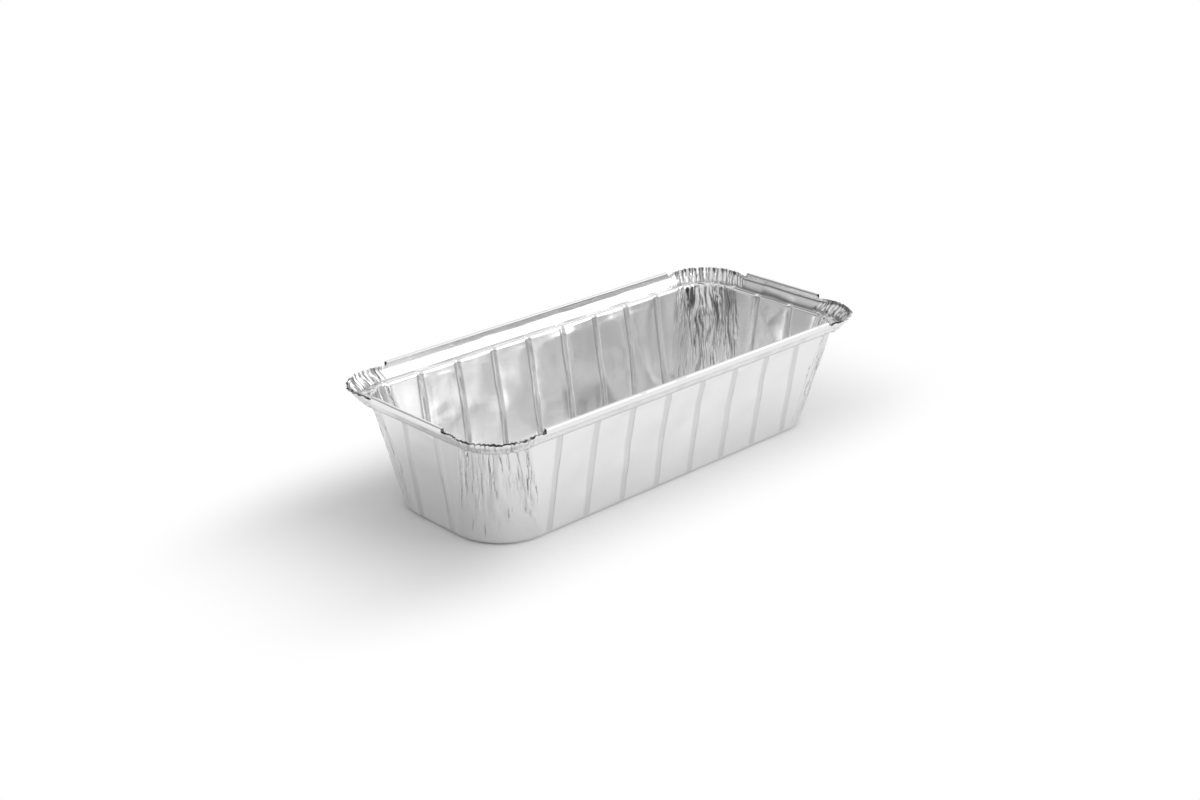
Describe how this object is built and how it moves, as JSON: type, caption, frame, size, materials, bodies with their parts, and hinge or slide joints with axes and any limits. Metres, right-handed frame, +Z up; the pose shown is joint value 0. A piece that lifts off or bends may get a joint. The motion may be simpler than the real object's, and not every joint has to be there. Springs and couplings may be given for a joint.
{
  "type": "foil loaf tray",
  "caption": "Rectangular loaf-shaped foil tray with tapered ribbed walls, gathered corners, a lid ledge and a flange with rolled hems.",
  "frame": {"origin": "middle of the underside of the base", "axes": "+X along the tray's length, +Z up out of its mouth"},
  "size_m": [0.222, 0.0988, 0.0537],
  "materials": {
    "foil": "bright rolled foil"
  },
  "bodies": {
    "root": {"foil_tray": "foil"}
  },
  "joints": []
}
